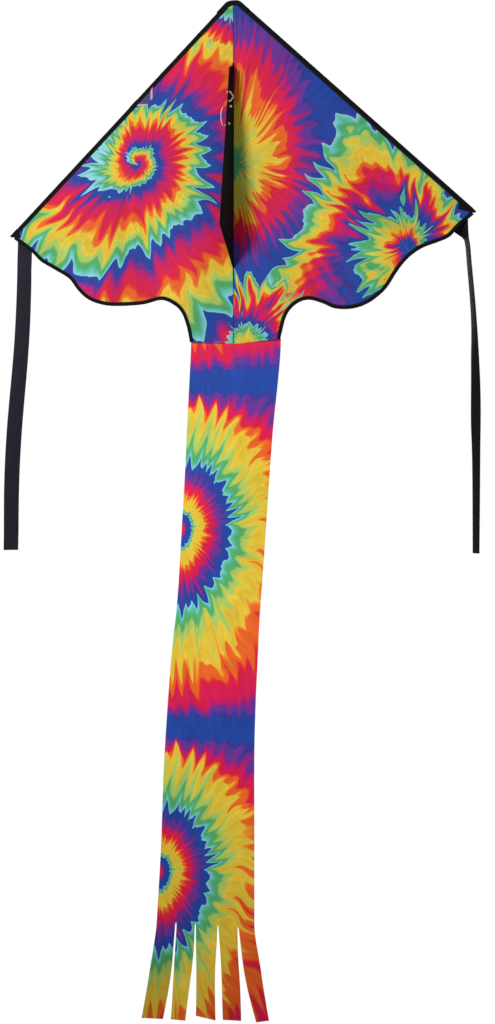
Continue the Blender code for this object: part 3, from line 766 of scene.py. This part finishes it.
def sail_print(name):
    """The left half's spiral and nose, or the right half's flower and spiral, with the hem's burst."""
    surface = Surface(f"{name}_sail_print", 0.5, Specular_IOR_Level=0.08)

    def around(centre):
        return surface.u - centre[0], surface.v - centre[1]

    hem = Burst(surface, *around(HEM_CENTRE), "hem")
    if name == "left":
        dx, dz = around(LEFT_CENTRE)
        core = (CORE_RADIUS - (dx * dx + dz * dz).math("SQRT")).above(0.0, CORE_SOFT)
        main = Burst(surface, dx - core * CORE_SHIFT[0], dz - core * CORE_SHIFT[1], "left")
        total, _ = main.rings(LEFT_SPIRAL, 5, 0.0, 1.0 - main.turn)
        nose = Burst(surface, surface.u, surface.v, "nose")
        inner = select(nose.within(NOSE_BORDER), nose.edge / NOSE_BORDER * 0.38 + 0.62,
                       (nose.edge - NOSE_BORDER) / 0.12)
        phase = select(nose.within(NOSE_LIMIT), inner, total.fract())
        hem_limit, hem_outer = HEM_BORDER, 0.5
        outward = (0.0 - main.ex).above(0.62, 0.5) * (0.155 - main.radius).above(0.0, 0.04)
        lean = outward * 0.22 + 0.06
    else:
        main = Burst(surface, *around(FLOWER_CENTRE), "flower")
        phase = surface.curve(main.edge / FLOWER_REACH,
                              [(r / FLOWER_REACH, p) for r, p in FLOWER])
        wing = Burst(surface, *around(WING_CENTRE), "wing", clockwise=False)
        total, borders = wing.rings(RIGHT_SPIRAL, 2, RIGHT_EYE, 0.0)
        total = select(wing.within(RIGHT_EYE), 0.05, total)
        phase = select(wing.within(borders[1]), surface.ring_curve(total / 2.0, RIGHT_RINGS), phase)
        hem_limit, hem_outer = HEM_LIMIT, hem.between(HEM_BORDER, HEM_LIMIT)
        lean = 0.02
    inner = select(hem.within(HEM_BORDER), hem.edge / HEM_BORDER * 0.42 + 0.58, hem_outer)
    phase = select(hem.within(hem_limit), inner, phase)
    # Partly painted shade: the seam line on the spine is darkened for its stitching and for the shade
    # where one panel overlaps the other
    seam = (0.0013 - surface.u.math("ABSOLUTE")).above(0.0, 0.0004)
    return finish_print(surface, phase, main, lean, seam, 0.90)


def tail_print():
    """Half flowers down the tail's left edge, one after another."""
    surface = Surface("tail_print", 0.5, Specular_IOR_Level=0.08)
    fall = surface.v - (TAIL_CENTRE - TAIL_BELOW)
    dz = (fall / TAIL_PERIOD).fract() * TAIL_PERIOD - TAIL_BELOW
    burst = Burst(surface, surface.u + 0.004, dz, "tail")
    phase = surface.ring_curve(burst.edge / TAIL_REACH,
                               [(r / TAIL_REACH, p) for r, p in TAIL_RING])
    upper, lower = TAIL_BAND
    side = burst.dz.above(0.0, 0.001)
    band = side * (upper - lower) + lower
    drip = surface.noise(surface.u * 70.0, dz * 9.0, 4.0, 2.0) - 0.5
    past = (burst.edge - TAIL_YELLOW).math("MAXIMUM", 0.0)
    left_over = (band - burst.dz.math("ABSOLUTE") + drip * 0.030).math("MAXIMUM", 0.0)
    share = past / (past + left_over + 0.0001)
    outer = select(side, surface.curve(share, TAIL_OUTER["above"]),
                   surface.curve(share, TAIL_OUTER["below"]))
    phase = select(past.above(0.0006, 0.001), outer, phase)
    # Painted shade: the print darkens towards the tail's foot, standing in for its shade
    painted_shade = ((PAINTED_SHADE_TOP - surface.v) / PAINTED_SHADE_LENGTH).clamp() * PAINTED_SHADE_DEPTH
    # Painted shade: the tail's top few millimetres are darkened, for the shade in the gap under the
    # hem
    seam = (surface.v - TAIL_TOP + 0.0036).above(0.0, 0.0008)
    return finish_print(surface, phase, burst, 0.02, seam, 1.07, painted_shade)


def dark_cloth(name, colour, pitch, roughness=0.72, glow=0.0, stitches=()):
    """Black woven cloth with a faint lighter thread, and rows of stitches along it."""
    surface = Surface(name, roughness, Specular_IOR_Level=0.06, Sheen_Weight=glow,
                      Sheen_Roughness=0.5)
    u, v = surface.u / pitch, surface.v / pitch
    weave = (u * math.tau).math("SINE") * (v * math.tau).math("SINE")
    dust = surface.noise(surface.u * 60.0, surface.v * 60.0, 1.0, 3.0)
    share = (weave * 0.25 + dust).clamp()
    light = tuple(c * 1.9 + 0.002 for c in colour)
    cloth = surface.mix_colour(share, tuple(c * 0.7 for c in colour), light)
    height = weave * 0.6 + dust * 2.0
    for row in stitches:
        near = (0.0004 - (surface.v - row).math("ABSOLUTE")).above(0.0, 0.0002)
        stitch = near * ((surface.u / 0.0028).fract() - 0.24).above(0.0, 0.08)
        cloth = surface.mix_colour(stitch, cloth, tuple(c * 3 + 0.02 for c in colour))
        height = height + stitch * 3.0
    surface.paint(cloth)
    surface.bump(height, 0.3, 0.0004)
    return surface.material


def hard_finish(name, colour, roughness, grain, metallic=0.0, coat=0.0):
    surface = Surface(name, roughness, Metallic=metallic, Coat_Weight=coat)
    place = surface.node("ShaderNodeTexCoord")
    made = surface.node("ShaderNodeTexNoise")
    made.inputs["Scale"].default_value = grain
    made.inputs["Detail"].default_value = 4.0
    surface.tree.links.new(place.outputs["Object"], made.inputs["Vector"])
    speckle = Value(surface.tree, made.outputs["Fac"])
    surface.paint(surface.mix_colour(speckle, tuple(c * 0.75 for c in colour),
                                     tuple(min(1.0, c * 1.3) for c in colour)))
    surface.set("Roughness", speckle * 0.2 + (roughness - 0.1))
    surface.bump(speckle, 0.15, 0.0002)
    return surface.material


LABEL_STRIP = (-0.2105, -0.2055)    # the pale edge's left and right x
LABEL_FOOT, LABEL_SLOPE = -0.2302, -0.06


def label_finish():
    """A dark blank label with a pale edge along its inner side and its foot."""
    surface = Surface("blank_label", 0.55, Specular_IOR_Level=0.25)
    left, right = LABEL_STRIP
    side_strip = (surface.u - left).above(0.0, 0.0012) * (right - surface.u).above(0.0, 0.0012)
    foot = (LABEL_FOOT + (surface.u + 0.205) * LABEL_SLOPE - surface.v).above(0.0, 0.0008)
    grain = surface.noise(surface.u * 300.0, surface.v * 300.0, 0.0, 2.0)
    base = surface.mix_colour(grain, rgb(38, 34, 96), rgb(58, 52, 128))
    pale = surface.mix_colour(grain, rgb(196, 134, 150), rgb(220, 168, 172))
    strip = side_strip.math("MAXIMUM", foot)
    surface.paint(surface.mix_colour(strip, base, pale))
    surface.bump(grain + strip * 2.0, 0.3, 0.0003)
    return surface.material


sail_cloth = {name: sail_print(name) for name in SIDES}
label_cloth = label_finish()
tail_cloth = tail_print()
black_cloth = dark_cloth("black_cloth", rgb(12, 11, 15), 0.0009)
binding_cloth = dark_cloth("binding_cloth", rgb(12, 11, 15), 0.0009, stitches=(0.0076,))
sleeve_cloth = dark_cloth("sleeve_cloth", rgb(12, 11, 14), 0.0009, stitches=(0.0116,))
tape_cloth = dark_cloth("keel_tape_cloth", rgb(14, 13, 18), 0.0009, stitches=(0.0056,))
keel_cloth = dark_cloth("black_keel_cloth", rgb(20, 20, 27), 0.0012)
# Painted light: one ribbon cloth in two copies, the left lighter and with sheen, the right darker and
# without sheen, for how the light falls on each ribbon
ribbon_cloth = {
    "left": dark_cloth("left_ribbon_lit_copy", rgb(25, 25, 35), 0.0010, glow=0.25),
    "right": dark_cloth("right_ribbon_shaded_copy", rgb(13, 13, 19), 0.0010),
}
fibreglass = hard_finish("black_fibreglass", rgb(40, 40, 44), 0.3, 400.0, coat=0.3)
vinyl = hard_finish("black_vinyl", rgb(34, 34, 37), 0.42, 900.0)
eyelet_metal = hard_finish("dark_eyelet", rgb(96, 96, 98), 0.32, 700.0, metallic=1.0)
white_cord = hard_finish("white_cord", rgb(232, 226, 218), 0.75, 2500.0)


# Camera, light and background -----------------------------------------------------------------

CAMERA_DISTANCE = 3.60
CAMERA_YAW = 0.2692
CAMERA_Z = NOSE_Z - 1.232
FOCAL_SHARE = 1.453         # focal length as a share of the picture's height
SPINE_SHIFT = 0.0138
WORLD_LIGHT = 0.38          # what the white surroundings give; the camera sees them at 1

camera_data = bpy.data.cameras.new("camera")
camera_data.sensor_fit = "VERTICAL"
camera_data.sensor_height = 24.0
camera_data.lens = camera_data.sensor_height * FOCAL_SHARE
camera_data.shift_x = SPINE_SHIFT
camera = bpy.data.objects.new("camera", camera_data)
camera.location = (CAMERA_DISTANCE * math.sin(CAMERA_YAW),
                   SAIL_Y - CAMERA_DISTANCE * math.cos(CAMERA_YAW), CAMERA_Z)
camera.rotation_euler = (math.pi / 2, 0, CAMERA_YAW)

scene = bpy.context.scene
scene.collection.objects.link(camera)
scene.camera = camera
scene.view_settings.view_transform = "Standard"
scene.view_settings.look = "None"

world = bpy.data.worlds.new("studio")
scene.world = world
world.use_nodes = True
backdrop_light = world.node_tree.nodes["Background"]
seen = world.node_tree.nodes.new("ShaderNodeLightPath")
mixer = world.node_tree.nodes.new("ShaderNodeMath")
mixer.operation = "MULTIPLY_ADD"
mixer.inputs[1].default_value = 1.0 - WORLD_LIGHT
mixer.inputs[2].default_value = WORLD_LIGHT
world.node_tree.links.new(seen.outputs["Is Camera Ray"], mixer.inputs[0])
world.node_tree.links.new(mixer.outputs[0], backdrop_light.inputs["Strength"])
backdrop_light.inputs["Color"].default_value = (1, 1, 1, 1)


def softbox(name, location, target, size, power):
    data = bpy.data.lights.new(name, "AREA")
    data.shape = "SQUARE"
    data.size = size
    data.energy = power
    obj = bpy.data.objects.new(name, data)
    obj.location = location
    obj.rotation_euler = (Vector(target) - Vector(location)).to_track_quat("-Z", "Y").to_euler()
    bpy.context.scene.collection.objects.link(obj)


softbox("key", (-1.5, -2.9, 0.55), (0, 0, -1.0), 0.9, 88)
softbox("fill", (2.6, -2.6, -1.6), (0, 0, -1.2), 1.6, 8)
softbox("back", (-0.9, 3.2, 0.5), (0, 0, -0.9), 1.2, 60)


# Cords ----------------------------------------------------------------------------------------


def cord_curve(name, route, radius, mat):
    path = smooth_path([keel_point(*p) for p in route], 4)
    data = bpy.data.curves.new(name, "CURVE")
    data.dimensions = "3D"
    data.bevel_depth = radius
    data.bevel_resolution = 2
    data.use_fill_caps = True
    spline = data.splines.new("POLY")
    spline.points.add(len(path) - 1)
    for control, point in zip(spline.points, path):
        control.co = (*point, 1)
    data.materials.append(mat)
    obj = bpy.data.objects.new(name, data)
    bpy.context.scene.collection.objects.link(obj)
    return obj, path


loop, loop_path = cord_curve("tow_cord", TOW_LOOP, TOW_CORD_RADIUS, white_cord)
loop_length = sum((b - a).length for a, b in zip(loop_path, loop_path[1:]))
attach(loop, "keel")
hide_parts("tow_loop")
for place, centre in TOW_KNOTS.items():
    route = []
    for i in range(0, 41, 2):
        a = math.tau * i / 40
        out = KNOT_SIZE * 0.42 * (2 + math.cos(3 * a))
        route.append((centre[0] + KNOT_SIZE * 0.8 * math.sin(3 * a),
                      centre[1] + out * math.cos(2 * a), centre[2] + out * math.sin(2 * a)))
    knot, _ = cord_curve(f"tow_knot_{place}_cord", route, TOW_CORD_RADIUS * 1.15, white_cord)
    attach(knot, "keel")
    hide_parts(f"tow_knot_{place}")
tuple(loop_path[0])
lashing, _ = cord_curve("keel_lashing_cord", LASHING, LASHING_RADIUS, white_cord)
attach(lashing, "keel")
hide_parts("keel_lashing")


# Assembly -------------------------------------------------------------------------------------


def bend_with_wing(piece):
    """Bakes the piece's placement into its mesh."""
    start = kite_point(0, 0)
    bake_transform(piece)


for name, side in SIDES.items():
    sail, area = build_sail(name, side, sail_cloth[name])
    bend_with_wing(sail)
    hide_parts(f"{name}_sail")
    binding = build_binding(name, side, binding_cloth)
    bend_with_wing(binding)
    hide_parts(f"{name}_trailing_binding")
    sleeve = build_sleeve(name, side, sleeve_cloth)
    bend_with_wing(sleeve)
    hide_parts(f"{name}_upper_sleeve", f"{name}_lower_sleeve")


def keel_depth(z):
    """How far the keel's edge stands in front of the sail."""
    corners = [(KEEL_TOP, KEEL_ROOT), (KEEL_SHOULDER[1], KEEL_SHOULDER[0]),
               (KEEL_APEX[1], KEEL_APEX[0]), (KEEL_FOOT, KEEL_ROOT)]
    return read_off(corners, z, 1)


def build_keel():
    """The keel's panel, with a little slack between its seam and its edge tape."""
    heights = [KEEL_TOP - 0.0005 + (KEEL_SHOULDER[1] - KEEL_TOP) * i / 6 for i in range(6)]
    heights += [KEEL_SHOULDER[1] + (KEEL_APEX[1] - KEEL_SHOULDER[1]) * i / 70 for i in range(70)]
    heights += [KEEL_APEX[1] + (KEEL_FOOT + 0.0005 - KEEL_APEX[1]) * i / 24 for i in range(25)]

    def place(z, share):
        edge = keel_depth(z) - 0.0015
        depth = KEEL_ROOT + (edge - KEEL_ROOT) * share
        slack = 4 * share * (1 - share) * (edge / KEEL_APEX[0])
        return keel_point(0.0022 * math.sin((z - KEEL_TOP) * 9.0) * slack, depth, z), (depth, z)

    grid, flats = lay_out(place, heights, steps(16))
    return sheet_mesh("keel_panel", grid, flats, 0.0005, keel_cloth), flat_area(flats)


def build_keel_tape():
    """The folded tape around the keel's free edges."""
    corners = [Vector((KEEL_ROOT + 0.0005, KEEL_TOP)), Vector(KEEL_SHOULDER), Vector(KEEL_APEX),
               Vector((KEEL_ROOT + 0.0005, KEEL_FOOT))]
    path = []
    for a, b in zip(corners, corners[1:]):
        count = max(3, round((b - a).length / 0.008))
        path += [a.lerp(b, k / count) for k in range(count)]
    path.append(corners[-1])

    def place(station, profile):
        (point, direction, run), (inset, x) = station, profile
        at = point + Vector((direction.y, -direction.x)) * inset * 0.78
        return keel_point(x * 0.75, max(at.x, KEEL_ROOT), at.y), (run, inset * 0.78)

    return loft("keel_edge_binding", *lay_out(place, walk(path), BINDING_PROFILE), tape_cloth)


def build_pocket():
    """The spine's pocket: a tube over the rod with a sewn flange on each side."""
    low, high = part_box("spine_pocket")
    profile = [(-0.0085, 0.0007), (-0.0085, 0.0013), (-0.0052, 0.0018), (-0.0043, 0.0052),
               (-0.0031, 0.0086), (0.0, 0.0100), (0.0031, 0.0086), (0.0043, 0.0052),
               (0.0052, 0.0018), (0.0085, 0.0013), (0.0085, 0.0007)]

    def place(down, profile):
        x, y = profile
        z = high.z + (low.z - high.z) * down
        swell = 1 + 0.05 * noise.noise(Vector((z * 30, 2.0, 0.5)))
        rough = 0.97 + 0.05 * noise.noise(Vector((z * 24, 7.0, x * 80))) * (y > 0.002)
        return Vector((x * swell, SAIL_Y + y * rough, z)), (z, x)

    return loft("spine_pocket_cloth", *lay_out(place, steps(110), profile), black_cloth)


def patch_mesh(name, left, right, y, mat, side=1, thickness=0.0006, columns=6):
    """A small patch on the sail, between two lines of (x, z) with as many points each."""
    grid, flats = [], []
    for a, b in zip(left, right):
        line = [Vector(a).lerp(Vector(b), i / columns) for i in range(columns + 1)]
        grid.append([kite_point(side * p.x, p.y, y) for p in line])
        flats.append([(side * p.x, p.y) for p in line])
    return sheet_mesh(name, grid, flats, thickness, mat)


def line_between(a, b, count=7):
    return [Vector(a).lerp(Vector(b), i / (count - 1)) for i in range(count)]


keel, keel_area = build_keel()
keel_front = kite_point(0, -0.3, -KEEL_ROOT)
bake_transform(keel)
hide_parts("keel")
keel_tape = build_keel_tape()
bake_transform(keel_tape)
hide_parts("keel_edge_tape")

pocket = build_pocket()
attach(pocket, "centre")
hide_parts("spine_pocket")

seam_tape = patch_mesh(
    "keel_seam_strip", line_between((-0.0020, KEEL_TOP + 0.006), (-0.0010, KEEL_FOOT - 0.018), 60),
    line_between((0.0020, KEEL_TOP + 0.006), (0.0010, KEEL_FOOT - 0.018), 60), -0.0014, black_cloth)
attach(seam_tape, "centre")
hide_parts("keel_seam_tape")

outline = [edge_point(NOSE_COVER * (1 - i / 8)) for i in range(9)]
outline += [Vector((NOSE_HALF * (1 - i / 5), NOSE_PEAK * (1 - (1 - i / 5) ** 3))) for i in range(1, 6)]
inner = [edge_point(NOSE_COVER * (1 - i / 8), SLEEVE_WIDTH) for i in range(9)]
foot = inner[-1]
inner += [foot.lerp(Vector((0.0, foot.y + 0.0035)), i / 5) for i in range(1, 6)]
outline += [Vector((-p.x, p.y)) for p in reversed(outline[:-1])]
inner += [Vector((-p.x, p.y)) for p in reversed(inner[:-1])]
nose = patch_mesh("nose_cover", outline, inner, NOSE_COVER_Y, black_cloth)
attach(nose, "centre")
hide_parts("nose_patch")

for name, side in SIDES.items():
    wing = f"{name}_wing"
    tip = edge_point(EDGE_LENGTH)
    reach = TIP_COVER[name]
    cover = patch_mesh(
        f"{name}_tip_cover",
        line_between(edge_point(EDGE_LENGTH - reach, 0.001), tip + Vector((-0.001, -0.0005))),
        line_between(edge_point(EDGE_LENGTH - reach * 0.72, 0.024), tip + Vector((-0.006, -0.004))),
        -0.0023, black_cloth, side)
    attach(cover, wing)
    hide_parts(f"{name}_tip_patch")
    facing = patch_mesh(
        f"{name}_hem_fold", line_between((0.0, HEM_Z - 0.003), (0.0, HEM_Z + 0.011), 4),
        line_between((0.112, HEM_Z + 0.001), (0.106, HEM_Z + 0.012), 4), 0.0006,
        sail_cloth[name], side, 0.0003, 20)
    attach(facing, "centre")
    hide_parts(f"{name}_hem_facing")

label_line = [edge_point(s, SLEEVE_WIDTH) for s in (0.276, 0.284, 0.292, 0.300, 0.308, 0.316, 0.324)]
label = patch_mesh("blank_side_label", label_line,
                   line_between((0.2050, -0.187), (0.2045, -0.2330)), -0.0013, label_cloth, -1)
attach(label, "left_wing")
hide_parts("left_blank_label")

rod_low, rod_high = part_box("spreader_rod")
rod_y, rod_z = (rod_low.y + rod_high.y) / 2, (rod_low.z + rod_high.z) / 2
rod_radius = (rod_high.z - rod_low.z) / 2
for name, side in SIDES.items():
    end = rod_high.x if side > 0 else rod_low.x

    def rod_place(share, turn):
        radius = rod_radius * (0.8 if share == 1 else 1.0)
        y, z = math.cos(math.tau * turn) * radius, math.sin(math.tau * turn) * radius
        return Vector((end * share, rod_y + y, rod_z + z)), (end * share, turn * ROD_GIRTH)

    half = loft(f"{name}_spreader_half", *lay_out(rod_place, steps(60), steps(16)[:-1]), fibreglass)
    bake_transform(half)
    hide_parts("spreader_rod")


TAIL_PATH = smooth_path([Vector(p) for p in TAIL_EDGES], 8)


def tail_edge(z, column):
    return read_off(TAIL_PATH, z, column)


def tail_place(share, z):
    left, right = tail_edge(z, 1), tail_edge(z, 2)
    down = TAIL_TOP - z
    loose = smooth(down / 0.35)
    wave = 0.007 * math.sin(down * 5.2) + 0.004 * math.sin(down * 11.0 + share * 2.0)
    curl = ((2 * share - 1) ** 2 - 0.35) * 0.006 * math.sin(down * 3.1 + 0.8)
    crease = noise.noise(Vector((share * 3.0, z * 4.0, 9.0))) * 0.004
    return kite_point(left + (right - left) * share, z, (wave + curl + crease) * loose + 0.0002)


def build_tail(mat):
    """The tail as far as its slits; its top edge follows the sag of the hem."""
    def place(down, share):
        z = TAIL_TOP + (FRINGE_TOP - TAIL_TOP) * down
        point = tail_place(share, z)
        if down == 0:
            point.z = NOSE_Z + hem_z((share - 0.5) * 0.22) + 0.0022
            point.y = SAIL_Y + 0.0012
        return point, (share * (tail_edge(z, 2) - tail_edge(z, 1)), z)

    grid, flats = lay_out(place, steps(190), steps(34))
    return sheet_mesh("tail_strip", grid, flats, CLOTH, mat), flat_area(flats)


tail, tail_area = build_tail(tail_cloth)
kite_point(0, TAIL_TOP)
kite_point(0, TAIL_TOP - 0.06)
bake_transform(tail)
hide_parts("tail")


def build_strip(index, mat):
    """One strip of the fringe, which hangs from the tail's foot between two slits."""
    (share_a, share_b), (foot_a, foot_b), (drop_a, drop_b) = FRINGE[index]

    def place(down, across):
        share = share_a + (share_b - share_a) * across
        top = tail_place(share, FRINGE_TOP)
        foot_x = foot_a + (foot_b - foot_a) * across
        drop = drop_a + (drop_b - drop_a) * across
        z = FRINGE_TOP + (drop - FRINGE_TOP) * down
        inset = SLIT_HALF * smooth(down / 0.03)
        x = top.x + (foot_x - top.x) * down ** 1.25
        x += inset * (1 - across) * (share_a > 0) - inset * across * (share_b < 1)
        turn = math.sin(down * 2.6 + index * 1.7) * 0.010 * (across - 0.5) * 2 * smooth(down * 2)
        sway = math.sin(down * 2.2 + index * 2.3) * 0.008 * smooth(down * 1.5)
        return Vector((x, top.y + turn + sway, NOSE_Z + z)), (share * TAIL_FOOT_WIDTH, z)

    return sheet_mesh(f"fringe_strip_{index + 1}", *lay_out(place, steps(36), steps(8)), CLOTH, mat)


for index in range(len(FRINGE)):
    strip = build_strip(index, tail_cloth)
    body = f"fringe_{index + 1}"
    kite_point(0, FRINGE_TOP)
    kite_point(0, FRINGE_TOP - 0.03)
    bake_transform(strip)
    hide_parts(body)
    shares, foot_x, foot_z = FRINGE[index]
    top_width = (shares[1] - shares[0]) * TAIL_FOOT_WIDTH
    width = (top_width + foot_x[1] - foot_x[0]) / 2


RIBBON_TURNS = {
    name: [smooth_path([Vector(p) for p in table[name]], 8)
           for table in (RIBBON_DRIFT, RIBBON_TWIST)]
    for name in SIDES
}


def ribbon_place(name, across, down):
    """The left ribbon turns about its middle; the right one swings back from its outer edge."""
    side = SIDES[name]
    drift, bend = (read_off(table, down, 1) for table in RIBBON_TURNS[name])
    z_mid = RIBBON_SEAM_Z + (RIBBON_FOOT - RIBBON_SEAM_Z) * down
    tucked = RIBBON_TUCK * smooth(1 - down / TUCK_FADE)
    fallen = RIBBON_SEAM_Z - z_mid - tucked
    ease = smooth((fallen + RIBBON_TWIST_START[name]) / RIBBON_TWIST_LENGTH[name])
    twist = math.radians(ease * bend)
    offset = (across - 0.5) * RIBBON_WIDTH
    pivot = RIBBON_WIDTH / 2 if name == "right" else 0.0
    arm = offset - pivot
    x = side * RIBBON_X + pivot + drift * smooth(down / DRIFT_GROWTH) + arm * math.cos(twist)
    z = z_mid + side * RIBBON_SLOPE * offset * (1 - ease) + tucked
    cup = ((2 * across - 1) ** 2 - 0.4) * 0.0015 * ease
    wave = math.sin(down * 9.0 + side) * 0.004 * smooth(down * 3)
    behind = RIBBON_BEHIND * smooth(1 - down / BEHIND_FADE)
    forward = RIBBON_FORWARD[name] * smooth(down / FORWARD_GROWTH)
    return kite_point(x, z, abs(arm) * math.sin(twist) * (1 if pivot else math.copysign(1, arm))
                      + cup + wave + behind - forward)


def build_ribbon(name, mat):
    def place(down, across):
        return ribbon_place(name, across, down), (across * RIBBON_WIDTH, -down * RIBBON_LENGTH)

    return sheet_mesh(f"{name}_tip_ribbon", *lay_out(place, steps(150), steps(6)), 0.0005, mat)


for name, side in SIDES.items():
    ribbon = build_ribbon(name, ribbon_cloth[name])
    top = kite_point(side * RIBBON_X, RIBBON_SEAM_Z)
    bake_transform(ribbon)
    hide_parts(f"{name}_ribbon")


# Finishes of the CAD's own nodes, by the word that their names end with
FINISHES = {
    "rod": fibreglass, "cap": vinyl, "fitting": vinyl, "eyelet": eyelet_metal,
    "pocket": black_cloth, "patch": black_cloth, "tape": black_cloth, "keel": keel_cloth,
    "knot": white_cord,
}
ANYWHERE = ("eyelet", "knot")      # these words may also stand inside a name
for word, mat in FINISHES.items():
    for key, obj in nodes.items():
        if key.endswith(word) or (word in ANYWHERE and word in key):
            for socket in obj.material_slots:
                socket.material = mat
